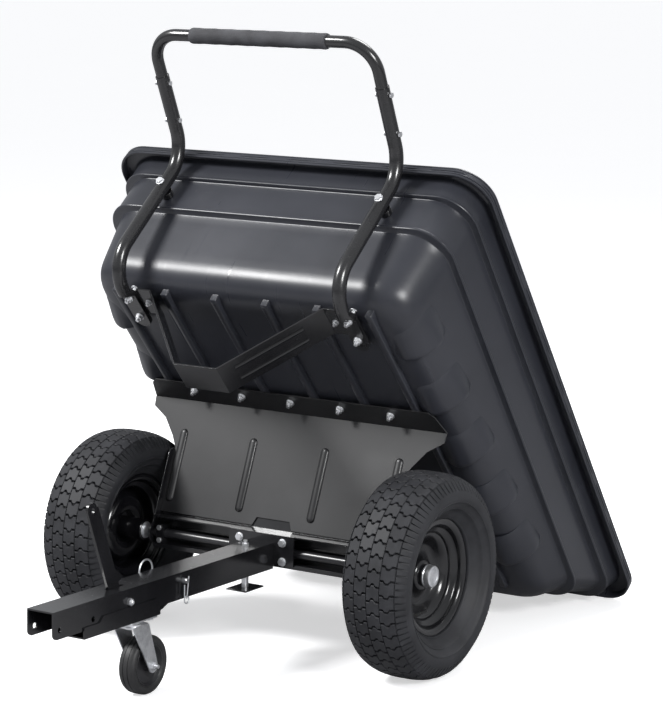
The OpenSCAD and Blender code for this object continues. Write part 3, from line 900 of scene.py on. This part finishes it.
    def shell(self) -> bpy.types.Object:
        """The whole moulding, outside and inside.

        Returns:
            The moulding, tipped and in place.
        """
        outside = self.base() + self.walls()
        count = len(outside) - 1
        inside = [ring.grown(-self.wall, self.wall * min(1.0, (count - i) / 5))
                  for i, ring in enumerate(outside[:-1])]
        rings = [to_tub(self.outline(ring)) for ring in outside + self.rim() + inside[::-1]]
        return put("tub_moulding", *sweep_rings(rings), TUB_PLASTIC, 38.0)

    def lower_line(self, reach: float) -> list[tuple[float, float]]:
        """Side-to-floor curve seen from behind.

        Args:
            reach: How far it is moved outwards; outward moves fade to nothing at both ends.

        Returns:
            Its points as half width and height.
        """
        spots = [(r.hw, (r.z_front + r.z_back) / 2) for r in self.base()]
        spots = [(0.306, self.floor)] + spots + [(0.3800, 0.332), (0.3815, 0.346)]
        out = []
        for i, (x, z) in enumerate(spots):
            (ax, az), (bx, bz) = spots[max(i - 1, 0)], spots[min(i + 1, len(spots) - 1)]
            n = math.hypot(bx - ax, bz - az)
            fade = min(1.0, i / 3, (len(spots) - 1 - i) / 2) if reach > 0 else 1.0
            out.append((x + reach * fade * (bz - az) / n, z - reach * fade * (bx - ax) / n))
        return out

    def shingle(self, side: Side) -> bpy.types.Object:
        """One bulged block that swells backwards and ends in a step.

        Args:
            side: The side of the tub it sits on.

        Returns:
            The block, about the axle of the level tub.
        """
        within = self.lower_line(-0.002)[::-1]
        swell = ((-0.078, -0.0002), (-0.074, 0.0018), (-0.064, 0.0042), (-0.048, 0.0070), (-0.028, 0.0112),
                 (-0.010, 0.0145), (-0.0025, 0.0152), (-0.0008, 0.0142), (0.0, 0.0115), (0.0004, -0.0002))
        rings = [np.array([(side.value * x, y, z) for x, z in self.lower_line(reach) + within])
                 for y, reach in swell]
        return put(f"shingle_{side.label}", *sweep_rings(rings), TUB_PLASTIC, 40.0)

    def rib(self) -> bpy.types.Object:
        """One straight stiffening rib under the floor, cut off square at the front roll.

        Returns:
            The rib, about the axle of the level tub.
        """
        roll = [(r.front, r.z_front) for r in self.base()[5:0:-1] if r.front > self.rib_cut]
        line = roll + [(y, self.floor) for y in np.linspace(-0.42, 0.388, 24)]
        line = [(line[0][0] - 0.0015, line[0][1])] + line + [(0.3895, self.floor)]
        low = self.floor - self.rib_depth
        rings = []
        for i, (y, z) in enumerate(line):
            shy = 0.0012 if i in (0, len(line) - 1) else 0.0
            half = ((0.0078 - shy, z + 0.002), (0.0076 - shy, low + 0.003 + shy),
                    (0.0069 - shy, low + 0.0009 + shy), (0.0055 - shy, low + shy))
            rings.append(np.array([(-x, y, h) for x, h in half] + [(x, y, h) for x, h in half[::-1]]))
        return put("floor_ribs", *sweep_rings(rings), TUB_PLASTIC, 40.0)

    def build(self) -> None:
        """Builds the moulding with its ribs and side blocks as one piece."""
        first = ((1 - self.ribs) / 2 * self.rib_x, 0, 0)
        parts = [REPEAT.apply(self.rib(), TUB_PLASTIC, self.ribs, first, (self.rib_x, 0, 0))]
        for side in Side:
            parts.append(REPEAT.apply(self.shingle(side), TUB_PLASTIC, self.shingles, self.first_shingle,
                                      self.shingle_step))
        for part in parts:
            place_on_tub(part)
        piece = join("tub_moulding_all", [self.shell(), *parts])
        install(piece, Body.TUB, TUB_PLASTIC, "tub_shell")


# ---- wheels ----


@dataclass
class TurfTyre:
    """One ribbed turf tyre with zigzag blocks, shoulder lugs and moulded sidewalls."""

    side: Side
    radius: float = 0.2032
    half_width: float = 0.072
    waist: float = 0.158
    tread: float = 0.0065
    pitches: int = 45
    power: float = 0.72
    steps: int = 144

    def crown(self, along: float) -> float:
        """Outer radius at a distance from the tyre's middle."""
        a = math.asin(min(1.0, abs(along) / self.half_width) ** (1 / self.power))
        return self.waist + (self.radius - self.waist) * math.cos(a) ** self.power

    def profile(self) -> list[tuple[float, float]]:
        """The carcass's closed section, blocks left off.

        Returns:
            Radius and distance from the middle of each corner.
        """
        half: list[tuple[float, float]] = []
        blocks_end, fade = 80, 14
        for degrees in (0, 8, 16, 24, 32, 40, 48, 56, 63, 69, 75, 80, 84, 87, 89):
            a = math.radians(degrees)
            r = self.waist + (self.radius - self.waist) * math.cos(a) ** self.power
            along = self.half_width * math.sin(a) ** self.power
            cut = self.tread * min(1.0, max(0.0, (blocks_end - degrees) / fade))
            half.append((r - cut, along))
        half += [(0.1560, 0.0716), (0.1530, 0.0706), (0.1524, 0.0716), (0.1506, 0.0712), (0.1500, 0.0694),
                 (0.1440, 0.0655), (0.1380, 0.0606), (0.1374, 0.0612), (0.1352, 0.0592), (0.1348, 0.0578),
                 (0.1280, 0.0518), (0.1220, 0.0452), (0.1190, 0.0420), (0.1186, 0.0430), (0.1170, 0.0420),
                 (0.1156, 0.0390), (0.1156, 0.0354), (0.1046, 0.0353), (0.1018, 0.0325), (0.1018, 0.0250),
                 (0.1150, 0.0230), (0.1350, 0.0440), (0.1520, 0.0600), (0.1700, 0.0600), (0.1880, 0.0420),
                 (0.1900, 0.0)]
        return half + [(r, -along) for r, along in half[::-1][1:-1]]

    def block(self, outline: Sequence[tuple[float, float]], depth: float) -> tuple[list, list]:
        """One tread block on the crown.

        Args:
            outline: Corners as distance round the tyre and distance across.
            depth: How far the block reaches down.

        Returns:
            Its points about the axle and its faces.
        """
        n = len(outline)
        mid_u = sum(u for u, _ in outline) / n
        mid_v = sum(v for _, v in outline) / n
        points = []
        for drop, shrink in ((depth, 1.06), (0.0008, 1.0), (0.0, 0.93)):
            for u, v in outline:
                uu, vv = mid_u + (u - mid_u) * shrink, mid_v + (v - mid_v) * shrink
                r = self.crown(vv) - drop
                points.append((self.side.value * vv, r * math.cos(uu / self.radius),
                               r * math.sin(uu / self.radius)))
        faces = [[k * n + i, k * n + (i + 1) % n, (k + 1) * n + (i + 1) % n, (k + 1) * n + i]
                 for k in range(2) for i in range(n)]
        faces += [list(range(n)), list(range(2 * n, 3 * n))]
        return points, faces

    def pitch(self) -> bpy.types.Object:
        """One pitch of the tread: four stepped bars and two rows of shoulder lugs, about the axle.

        Returns:
            The pitch as one object.
        """
        step = 2 * math.pi * self.radius / self.pitches
        long, deep, wide = step * 0.85, 0.0056, 0.0268
        lug_in, lug_out = 0.0572, 0.0708
        bend = ((0.0, 0.0), (0.26, 0.0), (0.40, 1.0), (0.60, 1.0), (0.74, 0.0), (1.0, 0.0))
        outlines: list[tuple[list[tuple[float, float]], float]] = []
        for column, start in enumerate((-0.0556, -0.0275, 0.0007, 0.0288)):
            lag, way = step * 0.5 * (column % 2), 1 if column % 2 else -1
            edge = [(lag + way * deep * out, start + wide * across) for across, out in bend]
            outlines.append((edge + [(u + long, v) for u, v in edge[::-1]], self.tread + 0.001))
        for way in (-1, 1):
            for lag in (0.0, step * 0.5):
                lug = [(lag, way * lug_in), (lag + step * 0.40, way * lug_in),
                       (lag + step * 0.38, way * lug_out), (lag + step * 0.02, way * lug_out)]
                outlines.append((lug, self.tread * 0.8))
        points: list = []
        faces: list = []
        for outline, depth in outlines:
            more, extra = self.block(outline, depth)
            faces += [[i + len(points) for i in face] for face in extra]
            points += more
        return put(f"tread_{self.side.label}", points, faces, TREAD, 30.0)

    def build(self) -> None:
        """Turns the carcass, repeats the tread round it and joins them."""
        centre = self.side.on_axle()
        carcass = put("carcass", *lathe(self.profile(), centre, self.side.value, self.steps), TREAD, 40.0)
        tread = REPEAT.apply(self.pitch(), TREAD, self.pitches, centre, turn=2 * math.pi / self.pitches)
        piece = join(f"turf_tyre_{self.side.label}", [carcass, tread])
        install(piece, self.side.wheel, TREAD, f"tyre_{self.side.label}")


@dataclass
class WheelRim:
    """Deep glossy rim with a rolled lip, a dished disc and a long hub."""

    side: Side
    sheet: float = 0.0024
    steps: int = 128

    def sections(self) -> list[list[tuple[float, float]]]:
        """Closed outlines of the barrel, the disc and the hub.

        Returns:
            Radius and distance along the axle of each corner, outline by outline.
        """
        lip = [(0.1118, 0.0350), (0.1134, 0.0362), (0.1135, 0.0367), (0.1122, 0.0368), (0.1080, 0.0362),
               (0.1046, 0.0352), (0.1022, 0.0334), (0.1008, 0.0308), (0.1003, 0.0262), (0.0992, 0.0232),
               (0.0960, 0.0212), (0.0890, 0.0188), (0.0862, 0.0172), (0.0852, 0.0150)]
        barrel = lip + [(r, -along) for r, along in lip[::-1]]
        disc = [(0.0858, 0.0125), (0.0815, 0.0122), (0.0770, 0.0108), (0.0732, 0.0078), (0.0700, 0.0030),
                (0.0665, -0.0040), (0.0630, -0.0080), (0.0590, -0.0100), (0.0480, -0.0108), (0.0380, -0.0108),
                (0.0345, -0.0085), (0.0325, -0.0030), (0.0312, 0.0035), (0.0290, 0.0062), (0.0250, 0.0070),
                (0.0205, 0.0070)]
        hub = [(0.0177, 0.0140), (0.0208, 0.0140), (0.0220, 0.0130), (0.0220, -0.0590), (0.0210, -0.0600),
               (0.0177, -0.0600)]
        return [thicken(barrel, self.sheet), thicken(disc, self.sheet * 1.1), hub]

    def build(self) -> None:
        """Turns each outline about the axle and joins them."""
        centre = self.side.on_axle()
        parts = [put("rim_part", *lathe(section, centre, self.side.value, self.steps), GLOSS, 40.0)
                 for section in self.sections()]
        label = self.side.label
        install(join(f"wheel_rim_{label}", parts), self.side.wheel, GLOSS, f"rim_{label}")


@dataclass
class HubCap:
    """Pressed cap over the end of the hub."""

    side: Side
    start: float = 0.376
    depth: float = 0.0165
    radius: float = 0.022

    def build(self) -> None:
        """A domed cap with a rolled edge and a shallow dish."""
        r, d = self.radius, self.depth
        outline = [(r - 0.0025, 0.0), (r, 0.0), (r + 0.0008, 0.001), (r + 0.0008, 0.003), (r, 0.004),
                   (r, d - 0.004), (r - 0.0012, d - 0.0012), (r - 0.004, d), (r * 0.62, d),
                   (r * 0.56, d - 0.0010), (r * 0.3, d - 0.0014), (0.0005, d - 0.0015),
                   (0.0005, d - 0.0035), (r * 0.5, d - 0.0032), (r - 0.005, d - 0.002),
                   (r - 0.0025, d - 0.005)]
        turned = lathe(outline, self.side.on_axle(self.start), self.side.value, 64)
        label = self.side.label
        cap = put(f"hub_cap_pressed_{label}", *turned, ZINC, 32.0)
        install(cap, self.side.wheel, ZINC, f"hub_cap_{label}")


# ---- steel, handle and castor ----


@dataclass
class Steelwork:
    """Pieces whose made shape is right: their edges are eased and their faces smoothed."""

    finish: Finish
    body: Body
    nodes: tuple[str, ...]
    ease: float = 0.0007
    crease: float = 32.0

    def copy(self, node: str) -> bpy.types.Object:
        """Copies one node, merges its faces and eases its edges.

        Args:
            node: The node's name.

        Returns:
            The eased copy.
        """
        shape = bmesh.new()
        shape.from_mesh(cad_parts[node].data)
        bmesh.ops.remove_doubles(shape, verts=shape.verts, dist=2e-6)
        bmesh.ops.dissolve_limit(shape, angle_limit=math.radians(1.0), verts=shape.verts, edges=shape.edges)
        mesh = bpy.data.meshes.new(f"{node}_eased")
        shape.to_mesh(mesh)
        shape.free()
        mesh.materials.clear()
        mesh.materials.append(self.finish.material())
        mesh.polygons.foreach_set("material_index", [0] * len(mesh.polygons))
        made = enter(f"{node}_eased", mesh)
        smooth(mesh, self.crease)
        if self.ease > 0:
            bevel = made.modifiers.new("ease", "BEVEL")
            bevel.width = self.ease
            bevel.segments = 2
            bevel.limit_method = "ANGLE"
            bevel.angle_limit = math.radians(self.crease)
            weigh = made.modifiers.new("weigh", "WEIGHTED_NORMAL")
            weigh.keep_sharp = False
            settle(made)
        return made

    def build(self) -> None:
        """Lets an eased copy stand for every node of the group."""
        for node in self.nodes:
            install(self.copy(node), self.body, self.finish, node)


@dataclass
class TiltPlate:
    """Bent sheet that joins tub and shaft, with four domed pressed ribs."""

    lean: float = math.radians(27.0)
    face: float = -0.00125
    radius: float = 0.009
    proud: float = 0.0056
    low: float = 0.075
    high: float = 0.212
    ribs: int = 4
    pitch: float = 0.1744

    def rib(self) -> bpy.types.Object:
        """One upright rib with round ends, on the front face of the level tub's plate.

        Returns:
            The rib, about the axle of the level tub.
        """
        turns = [math.radians(a) for a in (3, 15, 30, 45, 60, 75, 90)]
        spots = [(self.low - self.radius * math.cos(a), math.sin(a)) for a in turns]
        spots += [(self.high + self.radius * math.cos(a), math.sin(a)) for a in turns[::-1]]
        c, s = math.cos(self.lean), math.sin(self.lean)
        rings = []
        for up, share in spots:
            wide = self.radius * share
            dome = [(wide * math.sin(b), self.face - self.proud * share * math.cos(b))
                    for b in np.linspace(-math.pi / 2, math.pi / 2, 15)]
            loop = dome + [(wide, self.face + 0.0006), (-wide, self.face + 0.0006)]
            rings.append(np.array([(x, y * c - up * s, y * s + up * c) for x, y in loop]))
        return put("pressed_ribs", *sweep_rings(rings), SHEET, 50.0)

    def build(self) -> None:
        """Joins the eased sheet and its ribs."""
        first = ((1 - self.ribs) / 2 * self.pitch, 0, 0)
        ribs = REPEAT.apply(self.rib(), SHEET, self.ribs, first, (self.pitch, 0, 0))
        place_on_tub(ribs)
        sheet = Steelwork(SHEET, Body.TUB, ("tilt_plate",), 0.0012).copy("tilt_plate")
        install(join("tilt_plate_pressed", [sheet, ribs]), Body.TUB, SHEET, "tilt_plate")


@dataclass
class FoamGrip:
    """Closed-foam sleeve on the bow's cross tube."""

    length: float = 0.320
    bore: float = 0.0121
    radius: float = 0.016
    rows: int = 24
    ripple: float = 0.00035

    def build(self) -> None:
        """A sleeve with soft ends and a faint ripple along its length."""
        lo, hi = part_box("grip")
        centre = (lo + hi) / 2
        half, r = self.length / 2, self.radius
        outer = [(self.bore, half), (r - 0.003, half), (r - 0.0010, half - 0.0012), (r, half - 0.005)]
        for i in range(1, self.rows):
            u = half - 0.005 - (self.length - 0.010) * i / self.rows
            outer.append((r - self.ripple * (1 + math.sin(i * 2.1)), u))
        outer += [(r, 0.005 - half), (r - 0.0010, 0.0012 - half), (r - 0.003, -half), (self.bore, -half)]
        sleeve = put("grip_sleeve", *lathe(outer, centre, 1, 48), FOAM, 40.0)
        install(sleeve, Body.TUB, FOAM, "grip")


@dataclass
class CastorTyre:
    """Solid rubber tread of the castor with two shallow grooves."""

    def build(self) -> None:
        """Turns the tread about the castor's axle."""
        lo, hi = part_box("castor_tyre")
        centre = (lo + hi) / 2
        r, w = (hi.z - lo.z) / 2, (hi.x - lo.x) / 2
        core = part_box("castor_core")
        bore = (core[1].z - core[0].z) / 2 + 0.0001
        half = [(r, 0.0), (r, 0.0042), (r - 0.0012, 0.0048), (r - 0.0012, 0.0058), (r, 0.0064),
                (r - 0.0004, w - 0.0065), (r - 0.0024, w - 0.0026), (r - 0.0060, w - 0.0002),
                (r - 0.0080, w), (bore + 0.002, w - 0.0012), (bore, w - 0.003)]
        outline = half + [(a, -b) for a, b in half[::-1][:-1]]
        tread = put("castor_tread", *lathe(outline, centre, 1, 96), SOFT_RUBBER, 40.0)
        install(tread, Body.CASTOR_WHEEL, SOFT_RUBBER, "castor_tyre")


# ---- studio ----


@dataclass
class Studio:
    """Pale floor, soft lights and the camera."""

    camera_at: tuple[float, float, float] = (2.9822, -3.7229, 1.2441)
    yaw: float = math.radians(32.622)
    pitch: float = math.radians(8.92)
    roll: float = 0.0171
    lens: float = 136.0
    room_power: float = 0.5
    floor_reach: float = 60.0
    floor_corners: int = 64
    lamps: tuple[tuple[tuple[float, float, float], float, float], ...] = (
        ((-2.6, -1.8, 3.6), 1.5, 260.0),
        ((4.2, -1.2, 2.4), 1.6, 170.0),
        ((0.2, 3.0, 4.2), 2.4, 150.0),
    )

    def floor(self) -> None:
        """A very wide pale disc under the tyres."""
        turns = np.linspace(0, 2 * math.pi, self.floor_corners + 1)[:-1]
        ring = [(self.floor_reach * math.cos(a), self.floor_reach * math.sin(a), GROUND) for a in turns]
        face = list(range(self.floor_corners))
        put("studio_floor", ring, [face], StudioFloor("pale_floor", ""), outward=False)

    def light(self) -> None:
        """Even pale surroundings and large soft lamps."""
        world = bpy.data.worlds.new("pale_room")
        bpy.context.scene.world = world
        world.use_nodes = True
        ground = world.node_tree.nodes["Background"]
        ground.inputs[0].default_value = (0.95, 0.97, 1.0, 1.0)
        # Full brightness where it is looked at, and less where it lights the cart.
        looked_at = Nodes(world.node_tree).add("ShaderNodeLightPath", {}, {}, "Is Camera Ray")
        power = looked_at * (1.0 - self.room_power) + self.room_power
        world.node_tree.links.new(power.socket, ground.inputs[1])
        for number, (spot, size, watts) in enumerate(self.lamps):
            data = bpy.data.lights.new(f"lamp_{number}", "AREA")
            data.shape = "DISK"
            data.size, data.energy = size, watts
            lamp = enter(f"lamp_{number}", data)
            lamp.location = spot
            lamp.rotation_euler = (Vector((0, 0.4, 0.2)) - Vector(spot)).to_track_quat("-Z", "Y").to_euler()

    def camera(self) -> None:
        """Places the camera by its turn, tilt and roll."""
        data = bpy.data.cameras.new("camera")
        data.lens, data.sensor_width = self.lens, 36.0
        data.clip_start, data.clip_end = 0.05, 200.0
        made = enter("camera", data)
        a, e = self.yaw, self.pitch
        back = Vector((math.sin(a) * math.cos(e), -math.cos(a) * math.cos(e), math.sin(e)))
        level = Vector((math.cos(a), math.sin(a), 0.0))
        rise = back.cross(level)
        c, s = math.cos(self.roll), math.sin(self.roll)
        right, up = level * c + rise * s, rise * c - level * s
        turned = Matrix((right, up, back)).transposed().to_4x4()
        made.matrix_world = Matrix.Translation(self.camera_at) @ turned
        bpy.context.scene.camera = made

    def build(self) -> None:
        """Sets up floor, lamps, camera and a plain colour view."""
        bpy.context.scene.view_settings.view_transform = "Standard"
        self.floor()
        self.light()
        self.camera()


def steel_groups() -> list[Steelwork]:
    """All pieces that keep their made shape, by finish and body.

    Returns:
        The groups.
    """
    tub, chassis = Body.TUB, Body.CHASSIS
    groups = [
        Steelwork(SATIN, chassis, ("drawbar", "axle_beam", "coupling_plate", "castor_bracket",
                                   "foot_plate", "shaft_clamps"), 0.0009),
        Steelwork(SATIN, tub, ("saddle", "pivot_cheek_left", "pivot_cheek_right",
                               "handle_standoffs"), 0.0009),
        Steelwork(TUBE, tub, ("handle_left", "handle_right", "handle_bow"), 0.0004),
        Steelwork(SATIN, Body.LATCH, ("latch_lever",), 0.0008),
        Steelwork(SHAFT, chassis, ("axle_shaft",), 0.0004),
        Steelwork(ZINC, chassis, ("coupling_bolts", "clamp_bolts", "lever_bolt", "lever_spacers",
                                  "stow_pin", "stow_clip", "foot_bolt", "axle_spacers", "axle_nuts",
                                  "castor_plate", "castor_bolts", "castor_race"), 0.0004),
        Steelwork(ZINC, tub, ("plate_bolts", "saddle_bolts", "handle_bolts", "bow_pins"), 0.0004),
        Steelwork(ZINC, Body.CASTOR_SWIVEL, ("castor_fork", "castor_axle"), 0.0005),
        Steelwork(CORE_PLASTIC, Body.CASTOR_WHEEL, ("castor_core",), 0.0008),
    ]
    for side in Side:
        groups += [
            Steelwork(ZINC, side.wheel, (f"bearings_{side.label}",), 0.0004),
            Steelwork(SOFT_RUBBER, side.wheel, (f"valve_{side.label}",), 0.0005),
        ]
    return groups


def main() -> None:
    """Builds every class in order."""
    logging.basicConfig(level=logging.INFO, format="%(name)s %(message)s")
    Studio().build()
    Tub().build()
    for side in Side:
        TurfTyre(side).build()
        WheelRim(side).build()
        HubCap(side).build()
    TiltPlate().build()
    FoamGrip().build()
    CastorTyre().build()
    for group in steel_groups():
        group.build()


if __name__ == "__main__":
    main()
